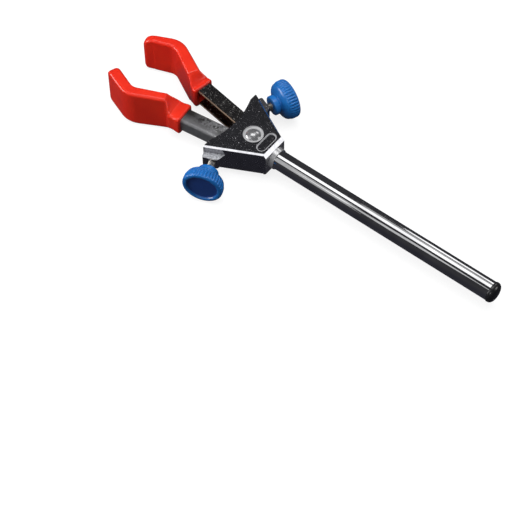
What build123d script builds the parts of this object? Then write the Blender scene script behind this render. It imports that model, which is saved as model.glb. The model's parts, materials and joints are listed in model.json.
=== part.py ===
from build123d import *
import math
import os

# Two-prong extension clamp: a chromed housing on a rod, two channel arms on one rivet,
# and a thumbscrew for each arm. Millimetres. The origin is on the rod's axis, where the rod
# leaves the housing's neck. +X runs to the rod's free end, +Z is the housing's top face,
# and +Y is the side of the far arm.

# Clearances
RUN_GAP = 0.05          # radial gap of a pin or stud that turns or slides in its hole
NEST_GAP = 0.10         # between the flanges of the two nested arms
BOSS_GAP = 0.10         # between a housing boss and the outer arm's flange
TIP_GAP = 0.05          # between a stud's tip and the arm it pushes, at its closest
LEG_GAP = 0.10          # between a spring leg and the web it rests on
COIL_GAP = 0.25         # between the spring and the flanges above and below it

# Rod and its end plug
ROD_D = 12.0
ROD_WALL = 1.5
ROD_SEAT_D = 11.5       # turned down where it sits in the neck's socket
ROD_FREE = 150.5        # length of rod outside the neck
PLUG_HEAD = 1.2         # straight part of the plug's head
PLUG_DOME = 3.2         # height of its dome
PLUG_SPIGOT = 11.0
PLUG_LEAD = 1.0         # chamfer at the spigot's inner end
PLUG_GROOVE = 1.0       # width of the grooves round the spigot
PLUG_RING = 0.25        # their depth
PLUG_RINGS = 3

# Housing, a plated casting, in plan from the pivot
NECK_END = 19.5         # pivot to the neck's end face
NECK_TIP_R = 6.6
NECK_ROOT_R = 7.3
NECK_ROOT_IN = 1.0      # how far the neck starts inside the rear face
HOUSING_H = 19.0
PLATE_T = 2.0           # top and bottom plate
WALL_T = 2.0            # side walls
REAR_X = 16.5           # rear face
REAR_HALF_W = 8.9
FRONT_X = -17.8         # front corners
FRONT_HALF_W = 25.4
FRONT_HOLLOW = 3.9      # how far the front edge curves back at the middle
FRONT_FLAT = 0.78       # share of the half width where the hollow starts
HOLLOW_TURN = 0.35      # how sharply it starts, as run back over run in
REAR_BEVEL = 2.1
EDGE_BEVEL = 0.9        # along the top and bottom edges of its sides
SOCKET_X = 7.2          # rear end of the cavity, where the rod's socket starts
BOSS_R = 6.6            # raised pad round the rivet, inside each plate
BOSS_H = 0.9
RING_R = 6.2            # recess round the rivet, outside each plate
RING_DEPTH = 0.9
PILL_X = 10.0           # sunk pill behind the rivet
PILL_LENGTH = 15.0
PILL_WIDTH = 5.6
PILL_DEPTH = 0.7

# Screw lugs on the side walls
SCREW_TILT = 21.0       # screw axis from +Y, in degrees
SCREW_OFFSET = 19.3     # pivot to screw axis
LUG_FACE = 21.2         # pivot to the lug's outer face, along the screw axis
LUG_ROOT = 14.5         # and to its root, inside the side wall
LUG_H = 8.0
LUG_FRONT = 6.2         # screw axis to the face's front end
LUG_REAR = 3.3          # and to its rear end
LUG_FLARE = 4.3         # how much further back the rear end reaches at the root
LUG_R = 1.2             # rounded upright edges

# Rivet
RIVET_D = 5.0
RIVET_HEAD_D = 9.2
RIVET_HEAD_H = 2.4
RIVET_RIM = 0.5         # straight edge below the dome

# Arms, folded from sheet. Each is laid out along -X from the pivot, outward is +Y
SHEET_T = 1.5
BEND_R = 1.9            # outside radius of the folds
NEAR_EDGE = 0.5         # pivot to the flanges' inner edges
NEAR_WEB = 11.0         # pivot to the web's outer face
NEAR_SPLAY = 7.0        # photographed angle from the rod's axis, in degrees
NEAR_SHUT = 2.8         # angle at which the grip's neck meets the centre line
NEAR_PADDLE = (57.5, 4.5)
NEAR_BEND = (80.2, 12.5)
NEAR_TIP = (100.0, 2.8)
NEAR_GRIP_START = 45.0
NEAR_GRIP_INNER = -2.0  # inner face of the grip's neck
FAR_EDGE = -0.2
FAR_WEB = 9.6
FAR_SPLAY = 9.3
FAR_SHUT = 3.4
FAR_PADDLE = (57.5, 3.3)
FAR_BEND = (81.3, 12.0)
FAR_TIP = (100.2, 0.6)
FAR_GRIP_START = 49.3
FAR_GRIP_INNER = -2.7
OPEN = 25.0             # angle at which a jaw is fully open
LOBE_R = 6.0            # rounded ears round the rivet
EAR_REACH = 10.0        # length over which an ear flares into the channel
EAR_STEP = 0.5          # how far the flare stays outside the flange's edge
EAR_FRONT = -122.0      # where the ear's edge leaves the round lobe at the front
EAR_BACK = 37.0         # and at the back, in degrees from +X
EAR_CORNER = 66.0       # its back corner at the fold

# Paddle at each arm's end
CHANNEL_END = 51.0      # where the flanges stop
STRIP_LAP = 1.0         # how far the strip runs on along the web, to both sides of there
PADDLE_H = 24.0         # height of the steel
PADDLE_TIP_R = 4.5
SHOULDER = 8.0          # length over which the strip widens to the paddle
JOG_R = 2.5
BEND_MID_R = 9.0

# Dipped grips
GRIP_T = 7.2            # thickness over the paddle
GRIP_H = 27.4
GRIP_EDGE_R = 2.0
GRIP_TIP_R = 6.0
GRIP_TIP_OVER = 1.6     # coating beyond the steel's tip
GRIP_COAT = 1.3         # thickness round the channel
GRIP_NECK_R = 1.8
GRIP_POCKET = 4.0       # depth of the open end inside the channel
BLEND_START = 52.3      # where the neck starts to blend into the paddle
BLEND_END = 59.5

# Torsion spring round the rivet
WIRE_D = 1.0
COIL_R = 3.7            # to the middle of the wire
COIL_TURNS = 2          # whole turns, before the part turn between the legs
LEG_REACH = 15.0        # where each leg rests on its web, along the arm

# Thumbscrews
STUD_D = 5.0
STUD_L = 27.0           # from the middle of the rounded tip
NEAR_REACH = 17.5       # from there to the knob's hub
FAR_REACH = 15.7
KNOB_D = 25.0
HUB_D = 12.6
HUB_ROUND = 0.8
HUB_T = 3.9
GROOVE_DEPTH = 0.9
GROOVE_T = 0.7
BELL_T = 3.8
BELL_FULL = 0.74        # how full the bell's curve is
RIM_T = 5.6
RIM_ROUND = 1.6
FACE_R = 9.8            # recess in the knob's outer face
FACE_DEPTH = 1.3
FLUTES = 38
FLUTE_R = 0.62
FLUTE_OUT = 0.35        # share of a flute's radius that lies outside the rim
FLUTE_START = 0.74      # how far up the bell the flutes start
BORE_END_GAP = 0.2      # beyond the stud's end

TOLERANCE = 0.01        # for picking edges by place, and for cuts that pass a face

# Derived sizes
ROD_R = ROD_D / 2
ROD_SEAT_R = ROD_SEAT_D / 2
PIVOT_X = -NECK_END
HALF_H = HOUSING_H / 2
INNER_HALF_H = HALF_H - PLATE_T
FAR_ARM_H = 2 * (INNER_HALF_H - BOSS_H - BOSS_GAP)
NEAR_ARM_H = FAR_ARM_H - 2 * (SHEET_T + NEST_GAP)
ROD_START = SOCKET_X - NECK_END
SIDE_ANGLE = math.degrees(math.atan2(FRONT_HALF_W - REAR_HALF_W, REAR_X - REAR_BEVEL - FRONT_X))
PIVOT = Pos(PIVOT_X, 0, 0)


def wall_offset(thickness):
    """Sideways distance that a wall of this thickness takes at a constant X."""
    return thickness / math.cos(math.radians(SIDE_ANGLE))


def half_width(x, inset=0.0):
    """Half width of the housing at x from the pivot, inside a wall of thickness inset."""
    corner_x = REAR_X - REAR_BEVEL
    slope = math.tan(math.radians(SIDE_ANGLE))
    return REAR_HALF_W + (corner_x - min(x, corner_x)) * slope - wall_offset(inset)


def plan_face(front, rear, inset=0.0):
    """Plan of the housing between two stations, with its hollow front edge."""
    front_w = half_width(front, inset)
    rear_w = half_width(rear, inset)
    corner_x = REAR_X - REAR_BEVEL
    side = [(rear, rear_w)]
    if rear > corner_x:
        side.append((corner_x, half_width(corner_x, inset)))
    side.append((front, front_w))
    mirrored = [(x, -y) for x, y in reversed(side)]
    lines = [Polyline(*side), Polyline(*mirrored), Line(mirrored[-1], side[0])]
    flat_w = front_w * FRONT_FLAT
    lines.append(Line((front, front_w), (front, flat_w)))
    lines.append(Line((front, -flat_w), (front, -front_w)))
    lines.append(Spline((front, flat_w), (front + FRONT_HOLLOW, 0), (front, -flat_w),
                        tangents=((HOLLOW_TURN, -1), (-HOLLOW_TURN, -1))))
    return make_face(lines)


def screw_point(u, t, side=1):
    """Plan point at t along a screw axis and u across it, from the pivot."""
    tilt = math.radians(SCREW_TILT)
    across = u - SCREW_OFFSET
    x = across * math.cos(tilt) + t * math.sin(tilt)
    y = t * math.cos(tilt) - across * math.sin(tilt)
    return (x, side * y)


def screw_plane(t, side=1):
    """Plane across a screw axis at t from the pivot, normal outwards."""
    x, y = screw_point(0, t, side)
    along = Vector(*screw_point(1, t, side)) - Vector(x, y)
    out = Vector(*screw_point(0, t + 1, side)) - Vector(x, y)
    return Plane(origin=(PIVOT_X + x, y, 0), x_dir=along, z_dir=out)


def make_lug(side):
    """Wedge-shaped boss on the side wall that carries one thumbscrew."""
    corners = [screw_point(-LUG_FRONT, LUG_ROOT, side), screw_point(-LUG_FRONT, LUG_FACE, side),
               screw_point(LUG_REAR, LUG_FACE, side), screw_point(LUG_REAR + LUG_FLARE, LUG_ROOT, side)]
    lug = extrude(Pos(0, 0, -LUG_H / 2) * make_face(Polyline(*corners, close=True)), LUG_H)
    upright = lug.edges().filter_by(Axis.Z)
    lug = fillet(upright.sort_by(Axis.Y)[2:] if side > 0 else upright.sort_by(Axis.Y)[:2], LUG_R)
    return PIVOT * lug


def make_shell():
    """Outside of the casting's body, without its lugs and neck."""
    shell = extrude(plan_face(FRONT_X, REAR_X), HOUSING_H)
    shell = PIVOT * Pos(0, 0, -HALF_H) * shell
    rear_edges = shell.edges().filter_by(Axis.Y).filter_by(
        lambda e: abs(e.center().X - (PIVOT_X + REAR_X)) < TOLERANCE)
    shell = chamfer(rear_edges, REAR_BEVEL)
    middle_x = PIVOT_X + (FRONT_X + REAR_X - REAR_BEVEL) / 2
    side_edges = shell.edges().filter_by(
        lambda e: abs(e.center().X - middle_x) < TOLERANCE and abs(abs(e.center().Z) - HALF_H) < TOLERANCE and
        abs(e.center().Y) > REAR_HALF_W)
    return chamfer(side_edges, EDGE_BEVEL)


def make_housing():
    outer = make_shell()
    for side in (1, -1):
        outer += make_lug(side)
    neck = Plane.YZ.offset(PIVOT_X + REAR_X - NECK_ROOT_IN) * Circle(NECK_ROOT_R)
    neck_tip = Plane.YZ.offset(0) * Circle(NECK_TIP_R)
    outer += loft([neck, neck_tip])
    cavity = extrude(plan_face(FRONT_X - TOLERANCE, SOCKET_X, WALL_T), 2 * INNER_HALF_H)
    body = outer - PIVOT * Pos(0, 0, -INNER_HALF_H) * cavity
    for up in (1, -1):
        boss = PIVOT * Pos(0, 0, up * (INNER_HALF_H - BOSS_H / 2)) * Cylinder(BOSS_R, BOSS_H)
        body += boss
        ring = PIVOT * Pos(0, 0, up * (HALF_H - RING_DEPTH / 2)) * Cylinder(RING_R, RING_DEPTH)
        body -= ring
    body -= PIVOT * Cylinder(RIVET_D / 2, HOUSING_H)
    pill = SlotOverall(PILL_LENGTH, PILL_WIDTH, rotation=90)
    body -= PIVOT * Pos(PILL_X, 0, HALF_H - PILL_DEPTH) * extrude(pill, PILL_DEPTH)
    body -= Pos(ROD_START, 0, 0) * Rot(0, 90, 0) * Cylinder(
        ROD_SEAT_R, NECK_END, align=(Align.CENTER, Align.CENTER, Align.MIN))
    for side in (1, -1):
        hole = screw_plane(0, side) * Cylinder(
            STUD_D / 2 + RUN_GAP, 2 * LUG_FACE, align=(Align.CENTER, Align.CENTER, Align.MIN))
        body -= hole
    return body


def make_rod():
    """Tube whose turned-down end is pressed into the socket, up to its shoulder."""
    tube = Cylinder(ROD_R, ROD_FREE, align=(Align.CENTER, Align.CENTER, Align.MIN))
    tube += Cylinder(ROD_SEAT_R, -ROD_START, align=(Align.CENTER, Align.CENTER, Align.MAX))
    tube -= Pos(0, 0, ROD_START) * Cylinder(
        ROD_R - ROD_WALL, ROD_FREE - ROD_START, align=(Align.CENTER, Align.CENTER, Align.MIN))
    return Rot(0, 90, 0) * tube


def dome(radius, height):
    """Cap of a ball, standing on z 0, with this base radius and height."""
    ball_r = (radius ** 2 + height ** 2) / (2 * height)
    cap = Pos(0, 0, height - ball_r) * Sphere(ball_r)
    return cap & Cylinder(radius * 2, height, align=(Align.CENTER, Align.CENTER, Align.MIN))


def make_plug():
    inner = ROD_R - ROD_WALL
    head = Cylinder(ROD_R, PLUG_HEAD, align=(Align.CENTER, Align.CENTER, Align.MIN))
    head += Pos(0, 0, PLUG_HEAD) * dome(ROD_R, PLUG_DOME)
    spigot = Cylinder(inner, PLUG_SPIGOT, align=(Align.CENTER, Align.CENTER, Align.MAX))
    spigot = chamfer(spigot.edges().group_by(Axis.Z)[0], PLUG_LEAD)
    plug = head + spigot
    for i in range(PLUG_RINGS):
        z = -PLUG_SPIGOT * (i + 1) / (PLUG_RINGS + 1)
        groove = Cylinder(ROD_R, PLUG_GROOVE) - Cylinder(inner - PLUG_RING, PLUG_GROOVE)
        plug -= Pos(0, 0, z) * groove
    return Pos(ROD_FREE, 0, 0) * Rot(0, 90, 0) * plug


def make_rivet():
    seat = HALF_H - RING_DEPTH
    rivet = Cylinder(RIVET_D / 2, 2 * seat)
    head = Cylinder(RIVET_HEAD_D / 2, RIVET_RIM, align=(Align.CENTER, Align.CENTER, Align.MIN))
    head += Pos(0, 0, RIVET_RIM) * dome(RIVET_HEAD_D / 2, RIVET_HEAD_H - RIVET_RIM)
    rivet += Pos(0, 0, seat) * head
    rivet += Pos(0, 0, -seat) * mirror(head, about=Plane.XY)
    return PIVOT * rivet


def channel_section(half, edge, web):
    """Cross section of the folded channel, open towards the centre line."""
    depth = web - edge
    outer = Pos(edge + depth / 2, 0) * Rectangle(depth, 2 * half)
    outer = fillet(outer.vertices().group_by(Axis.X)[-1], BEND_R)
    inner_depth = depth - SHEET_T
    inner = Pos(edge + inner_depth / 2, 0) * Rectangle(inner_depth, 2 * (half - SHEET_T))
    inner = fillet(inner.vertices().group_by(Axis.X)[-1], BEND_R - SHEET_T)
    return outer - inner


def make_arm(height, edge, web, paddle, bend, tip):
    """Folded arm laid out along -X, with its web on the +Y side."""
    web_mid = web - SHEET_T / 2
    half = height / 2
    paddle_half = PADDLE_H / 2
    start = CHANNEL_END - STRIP_LAP
    jog = CHANNEL_END + STRIP_LAP
    path = [(-start, web_mid), (-jog, web_mid), (-paddle[0], paddle[1]), (-bend[0], bend[1]), (-tip[0], tip[1])]
    radii = [JOG_R, JOG_R, BEND_MID_R]
    strip = extrude(Pos(0, 0, -paddle_half) * thick_line(path, radii, SHEET_T), PADDLE_H)
    low = half - BEND_R
    past_tip = tip[0] + SHEET_T
    upper = [(-start, low), (-CHANNEL_END, low), (-CHANNEL_END - SHOULDER, paddle_half), (-past_tip, paddle_half)]
    outline = upper + [(x, -z) for x, z in reversed(upper)]
    strip &= extrude(Plane.XZ * make_face(Polyline(*outline, close=True)), 2 * web, both=True)
    tip_edges = strip.edges().filter_by(lambda e: e.center().X < SHEET_T - tip[0] and
                                        abs(abs(e.center().Z) - paddle_half) < TOLERANCE and
                                        abs(e.length - SHEET_T) < TOLERANCE)
    arm = fillet(tip_edges, PADDLE_TIP_R)
    section = Plane(origin=(0, 0, 0), x_dir=(0, 1, 0), z_dir=(-1, 0, 0)) * channel_section(half, edge, web)
    arm += extrude(section, CHANNEL_END)
    for up in (1, -1):
        arm += Pos(0, 0, up * (half - SHEET_T / 2)) * make_ear(edge, web)
    return arm - Cylinder(RIVET_D / 2 + RUN_GAP, height * 2)


def offset_corners(points, distance):
    """Corners of a run of straight lines moved sideways, to the left of the way it runs."""
    moved = []
    last = len(points) - 1
    for i, (x, y) in enumerate(points):
        before = Vector(*points[max(i, 1)]) - Vector(*points[max(i, 1) - 1])
        after = Vector(*points[min(i, last - 1) + 1]) - Vector(*points[min(i, last - 1)])
        left_before = Vector(-before.Y, before.X).normalized()
        left_after = Vector(-after.Y, after.X).normalized()
        middle = (left_before + left_after).normalized()
        shift = middle * (distance / middle.dot(left_before))
        moved.append((x + shift.X, y + shift.Y))
    return moved


def thick_line(points, radii, thickness):
    """Flat face of a bent strip seen on edge, from its middle line and bend radii."""
    half = thickness / 2
    sides = []
    for distance in (half, -half):
        side_radii = []
        for i, radius in enumerate(radii):
            before = Vector(*points[i + 1]) - Vector(*points[i])
            after = Vector(*points[i + 2]) - Vector(*points[i + 1])
            turn = 1 if before.cross(after).Z > 0 else -1
            side_radii.append(radius - turn * distance)
        sides.append(FilletPolyline(*offset_corners(points, distance), radius=side_radii))
    left, right = sides
    return make_face([left, right, Line(left @ 0, right @ 0), Line(left @ 1, right @ 1)])


def on_lobe(angle):
    """Point of the round ear's edge at this angle from +X."""
    return (LOBE_R * math.cos(math.radians(angle)), LOBE_R * math.sin(math.radians(angle)))


def make_ear(edge, web):
    """Rounded ear of one flange round the rivet, flared into the straight channel."""
    fold = web - BEND_R
    flare_end = (-LOBE_R - EAR_REACH, edge + EAR_STEP)
    back = Polyline((0, 0), on_lobe(EAR_BACK), (LOBE_R * math.cos(math.radians(EAR_CORNER)), fold), (0, fold), close=True)
    front = Polyline((0, 0), on_lobe(EAR_FRONT), flare_end, (-LOBE_R, fold), (0, fold), close=True)
    ear = Circle(LOBE_R) + make_face(back) + make_face(front)
    return extrude(Pos(0, 0, -SHEET_T / 2) * ear, SHEET_T)


def grip_section(a, b, slope, width, height, radius):
    """Rounded rectangle across the grip at a along the arm and b outward."""
    turn = math.radians(slope)
    plane = Plane(origin=(-a, b, 0), x_dir=(math.sin(turn), math.cos(turn), 0),
                  z_dir=(-math.cos(turn), math.sin(turn), 0))
    return plane * RectangleRounded(width, height, radius)


def make_grip(height, edge, web, paddle, bend, tip, start, inner, arm):
    """Dipped coating over the paddle and the end of the channel."""
    first = Vector(bend[0] - paddle[0], bend[1] - paddle[1])
    slope = math.degrees(math.atan2(first.Y, first.X))
    at_blend = paddle[1] + (BLEND_END - paddle[0]) * first.Y / first.X
    last = (Vector(*tip) - Vector(*bend)).normalized()
    end = Vector(*tip) + last * GRIP_TIP_OVER
    path = FilletPolyline((-BLEND_END, at_blend), (-bend[0], bend[1]), (-end.X, end.Y), radius=BEND_MID_R)
    section = grip_section(BLEND_END, at_blend, slope, GRIP_T, GRIP_H, GRIP_EDGE_R)
    rounded = Pos(-end.X / 2, 0) * RectangleRounded(end.X, GRIP_H, GRIP_TIP_R)
    grip = sweep(section, path=path) & extrude(Plane.XZ * rounded, 2 * web, both=True)
    neck_w = web + GRIP_COAT - inner
    neck_mid = (web + GRIP_COAT + inner) / 2
    neck_h = height + 2 * GRIP_COAT
    root = grip_section(start, neck_mid, 0, neck_w, neck_h, GRIP_NECK_R)
    neck_end = grip_section(BLEND_START, neck_mid, 0, neck_w, neck_h, GRIP_NECK_R)
    grip += loft([root, neck_end]) + loft([neck_end, section])
    grip -= arm
    inside = height / 2 - SHEET_T - GRIP_COAT
    pocket_w = web - SHEET_T - GRIP_COAT - edge
    pocket = Pos(-start - GRIP_POCKET / 2, edge + pocket_w / 2, 0) * Box(GRIP_POCKET, pocket_w, 2 * inside)
    return grip - pocket


def make_spring():
    """Torsion spring: a coil round the rivet with a leg along the inside of each web."""
    def leg_end(splay, web, side):
        t = math.radians(splay)
        a = LEG_REACH
        b = web - SHEET_T - WIRE_D / 2 - LEG_GAP
        return (-a * math.cos(t) + b * math.sin(t), side * (a * math.sin(t) + b * math.cos(t)))

    def tangent_angle(point, side):
        distance = math.hypot(*point)
        direction = math.atan2(point[1], point[0])
        return direction - side * math.acos(COIL_R / distance)

    far_end = leg_end(FAR_SPLAY, FAR_WEB, 1)
    near_end = leg_end(NEAR_SPLAY, NEAR_WEB, -1)
    start = tangent_angle(near_end, -1)
    stop = tangent_angle(far_end, 1)
    while start > 0:
        start -= 2 * math.pi
    sweep_angle = (stop - start) % (2 * math.pi) + 2 * math.pi * COIL_TURNS
    far_len = math.sqrt(math.hypot(*far_end) ** 2 - COIL_R ** 2)
    near_len = math.sqrt(math.hypot(*near_end) ** 2 - COIL_R ** 2)
    room = NEAR_ARM_H - 2 * (SHEET_T + COIL_GAP) - WIRE_D
    pitch = 2 * math.pi * room / (sweep_angle + (far_len + near_len) / COIL_R)
    height = pitch * sweep_angle / (2 * math.pi)
    coil = Pos(0, 0, -height / 2) * Rot(0, 0, math.degrees(start)) * Helix(pitch, height, COIL_R)
    near_leg = Line((coil @ 0) - (coil % 0) * near_len, coil @ 0)
    far_leg = Line(coil @ 1, (coil @ 1) + (coil % 1) * far_len)
    path = Wire([near_leg.edge(), coil.edge(), far_leg.edge()])
    section = Plane(origin=path @ 0, z_dir=path % 0) * Circle(WIRE_D / 2)
    return PIVOT * sweep(section, path=path)


def contact(splay, web):
    """Where a stud tip's centre is along its axis when the tip touches its arm's web."""
    beta = math.radians(SCREW_TILT - splay)
    return (web + STUD_D / 2) / math.cos(beta) - SCREW_OFFSET * math.tan(beta)


def tip_station(splay, web, shut):
    """The same for a steady travel between the shut and open jaw, which clears the web between."""
    first = contact(shut, web)
    share = (splay - shut) / (OPEN - shut)
    return first + (contact(OPEN, web) - first) * share + TIP_GAP


def make_stud():
    """Stud along +Z with its rounded tip's centre at 0."""
    stud = Cylinder(STUD_D / 2, STUD_L, align=(Align.CENTER, Align.CENTER, Align.MIN))
    return stud + Sphere(STUD_D / 2)


def make_knob(reach):
    """Knob along +Z with its hub's face at 0, bored for the rest of the stud."""
    hub = HUB_D / 2
    rim = KNOB_D / 2
    neck = hub - GROOVE_DEPTH
    z1 = HUB_T
    z2 = z1 + GROOVE_T
    z3 = z2 + BELL_T
    z4 = z3 + RIM_T
    arc = 1 - math.sqrt(0.5)
    floor = z4 - FACE_DEPTH
    bell_mid = (neck + (rim - neck) * BELL_FULL, z2 + BELL_T * (1 - BELL_FULL))
    outline = [
        Line((0, 0), (hub - HUB_ROUND, 0)),
        ThreePointArc((hub - HUB_ROUND, 0), (hub - HUB_ROUND * arc, HUB_ROUND * arc), (hub, HUB_ROUND)),
        Line((hub, HUB_ROUND), (hub, z1 - GROOVE_DEPTH)),
        Line((hub, z1 - GROOVE_DEPTH), (neck, z1)),
        Line((neck, z1), (neck, z2)),
        ThreePointArc((neck, z2), bell_mid, (rim, z3)),
        Line((rim, z3), (rim, z4 - RIM_ROUND)),
        ThreePointArc((rim, z4 - RIM_ROUND), (rim - RIM_ROUND * arc, z4 - RIM_ROUND * arc),
                      (rim - RIM_ROUND, z4)),
        Line((rim - RIM_ROUND, z4), (FACE_R, z4)),
        Line((FACE_R, z4), (FACE_R - FACE_DEPTH / 2, floor)),
        Line((FACE_R - FACE_DEPTH / 2, floor), (0, floor)),
        Line((0, floor), (0, 0)),
    ]
    knob = revolve(Plane.XZ * make_face(outline), Axis.Z)
    flute = Cylinder(FLUTE_R, RIM_T + BELL_T, align=(Align.CENTER, Align.CENTER, Align.MIN))
    station = rim + FLUTE_R * FLUTE_OUT
    knob -= [Rot(0, 0, i * 360 / FLUTES) * Pos(station, 0, z2 + BELL_T * FLUTE_START) * flute for i in range(FLUTES)]
    bore = Cylinder(STUD_D / 2, STUD_L - reach + BORE_END_GAP,
                    align=(Align.CENTER, Align.CENTER, Align.MIN))
    return knob - bore


def place_screw(part, t, side):
    """Put a piece that is laid out along +Z on a screw axis."""
    return screw_plane(t, side) * part


def mirrored(part):
    return mirror(part, about=Plane.XZ)


def build():
    near_turn = PIVOT * Rot(0, 0, NEAR_SPLAY)
    far_turn = PIVOT * Rot(0, 0, -FAR_SPLAY)
    near_form = (NEAR_ARM_H, NEAR_EDGE, NEAR_WEB, NEAR_PADDLE, NEAR_BEND, NEAR_TIP)
    far_form = (FAR_ARM_H, FAR_EDGE, FAR_WEB, FAR_PADDLE, FAR_BEND, FAR_TIP)
    near_flat = make_arm(*near_form)
    far_flat = make_arm(*far_form)
    near_grip = make_grip(*near_form, NEAR_GRIP_START, NEAR_GRIP_INNER, near_flat)
    far_grip = make_grip(*far_form, FAR_GRIP_START, FAR_GRIP_INNER, far_flat)
    near_tip = tip_station(NEAR_SPLAY, NEAR_WEB, NEAR_SHUT)
    far_tip = tip_station(FAR_SPLAY, FAR_WEB, FAR_SHUT)
    stud = make_stud()
    return {
        "housing": make_housing(),
        "rod": make_rod(),
        "rod_end_plug": make_plug(),
        "pivot_rivet": make_rivet(),
        "torsion_spring": make_spring(),
        "near_arm": near_turn * mirrored(near_flat),
        "far_arm": far_turn * far_flat,
        "near_grip": near_turn * mirrored(near_grip),
        "far_grip": far_turn * far_grip,
        "near_stud": place_screw(stud, near_tip, -1),
        "far_stud": place_screw(stud, far_tip, 1),
        "near_knob": place_screw(make_knob(NEAR_REACH), near_tip + NEAR_REACH, -1),
        "far_knob": place_screw(make_knob(FAR_REACH), far_tip + FAR_REACH, 1),
    }


os.makedirs("parts", exist_ok=True)
for name, solid in build().items():
    export_step(solid, f"parts/{name}.step")
    print(name, round(solid.volume, 1), len(solid.solids()))
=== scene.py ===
import json
import math

import bmesh
import bpy
from mathutils import Matrix, Vector


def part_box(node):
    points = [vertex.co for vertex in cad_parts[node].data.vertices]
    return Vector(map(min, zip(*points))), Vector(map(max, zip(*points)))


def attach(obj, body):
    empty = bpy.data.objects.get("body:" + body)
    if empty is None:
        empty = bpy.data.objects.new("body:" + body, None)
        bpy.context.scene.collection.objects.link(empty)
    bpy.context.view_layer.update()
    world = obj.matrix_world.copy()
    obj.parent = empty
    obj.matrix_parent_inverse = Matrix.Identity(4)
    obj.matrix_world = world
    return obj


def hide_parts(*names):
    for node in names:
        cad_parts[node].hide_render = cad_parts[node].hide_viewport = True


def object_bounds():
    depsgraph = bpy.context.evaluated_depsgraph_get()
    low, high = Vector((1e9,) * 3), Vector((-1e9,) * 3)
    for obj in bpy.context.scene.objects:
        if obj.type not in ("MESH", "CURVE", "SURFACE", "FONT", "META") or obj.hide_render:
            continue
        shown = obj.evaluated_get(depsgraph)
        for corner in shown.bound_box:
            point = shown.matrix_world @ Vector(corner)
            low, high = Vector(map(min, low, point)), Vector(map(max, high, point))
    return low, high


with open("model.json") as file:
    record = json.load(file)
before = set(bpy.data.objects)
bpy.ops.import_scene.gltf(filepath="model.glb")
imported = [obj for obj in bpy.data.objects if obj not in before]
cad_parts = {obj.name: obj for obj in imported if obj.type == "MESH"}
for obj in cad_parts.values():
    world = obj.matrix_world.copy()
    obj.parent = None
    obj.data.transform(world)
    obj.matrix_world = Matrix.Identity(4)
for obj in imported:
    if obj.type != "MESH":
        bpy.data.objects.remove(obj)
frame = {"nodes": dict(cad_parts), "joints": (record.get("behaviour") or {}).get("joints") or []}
cad_low, cad_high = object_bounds()
MM = 0.001
UP = Vector((0, 0, 1))
PIVOT = Vector(next(j["pos_m"] for j in frame["joints"] if j["name"] == "near_jaw_hinge"))

# Camera, fitted to the photograph: where it stands round the rivet, and the rivet's pixel in the picture
IMAGE = 512
CAM_AZIMUTH = 39.05
CAM_ELEVATION = 56.31
CAM_ROLL = -0.92
CAM_DISTANCE = 0.9128
CAM_FOCAL_PX = 1516.3
CAM_SENSOR = 36.0
RIVET_PX = (253.43, 143.87)

# Arms and their dipped grips: a place is (along the arm from the rivet, outward from the centre line)
SIDES = {
    "near": {
        "side": -1,
        "splay": 7.0,
        "height": 9.8 * MM,
        "edge": 0.5 * MM,           # inner edge of the arm's flanges
        "web": 11.0 * MM,           # outer face of its web
        "start": 45.0 * MM,         # where the grip's collar begins
        "inner": -1.9 * MM,         # inner face of the collar
        "coat": 1.5 * MM,
        "paddle": (57.5 * MM, 4.7 * MM),
        "bend": (80.8 * MM, 12.6 * MM),
        "end": (101.0 * MM, 2.1 * MM),
        "thick": (6.7 * MM, 7.4 * MM, 7.7 * MM),    # at the paddle's root, bend and end
        "grip_h": 26.9 * MM,
        "lean": 1.2,
        "top_r": 6.2 * MM,
        "low_r": 6.0 * MM,
    },
    "far": {
        "side": 1,
        "splay": 9.3,
        "height": 13.0 * MM,
        "edge": -0.2 * MM,
        "web": 9.6 * MM,
        "start": 49.3 * MM,
        "inner": -2.7 * MM,
        "coat": 1.0 * MM,
        "paddle": (57.5 * MM, 3.9 * MM),
        "bend": (81.9 * MM, 12.0 * MM),
        "end": (101.5 * MM, -0.1 * MM),
        "thick": (8.2 * MM, 7.3 * MM, 5.8 * MM),
        "grip_h": 26.4 * MM,
        "lean": -1.5,
        "top_r": 7.5 * MM,
        "low_r": 3.6 * MM,
    },
}
SHEET_T = 1.5 * MM
GRIP_EDGE_R = 1.8 * MM
GRIP_BEND_R = 11.0 * MM
GRIP_NECK_R = 2.0 * MM
GRIP_POCKET = 4.0 * MM      # how far the hollow collar reaches in
POCKET_R = 0.9 * MM
POCKET_LIP = 0.3 * MM       # how far the pocket's mouth opens
COLLAR_LIP = 0.9 * MM
COLLAR_BULGE = 0.35 * MM
BULGE_START = 1.5 * MM      # the bulge fades out between these distances from the collar's start
BULGE_END = 5.5 * MM
BLEND_START = 52.3 * MM
BLEND_END = 58.6 * MM
LEAN_RAMP = 20 * MM         # length over which the paddle's lean sets in
BEND_SHARE = 0.47           # share of the paddle's length where its bend lies
PADDLE_STEP = 0.7 * MM
TIP_MIN = 0.15 * MM
TIP_CROWD = 1.7             # crowds the rings towards the tip

# Housing and arms, as in the part's source, for the finishes and painted highlights that follow their
# places
HOUSING_TOP = 9.5 * MM
RIVET_R = 4.4 * MM
RING_R = 6.2 * MM
RING_DEPTH = 1.2 * MM
PILL_X = 10.0 * MM
PILL_R = 2.8 * MM
PILL_STRAIGHT = 4.7 * MM
LUG_TOP = 4.0 * MM
NECK_X = -3.0 * MM
HOUSING_EDGE = 0.18 * MM
ARM_EDGE = 0.3 * MM

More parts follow.
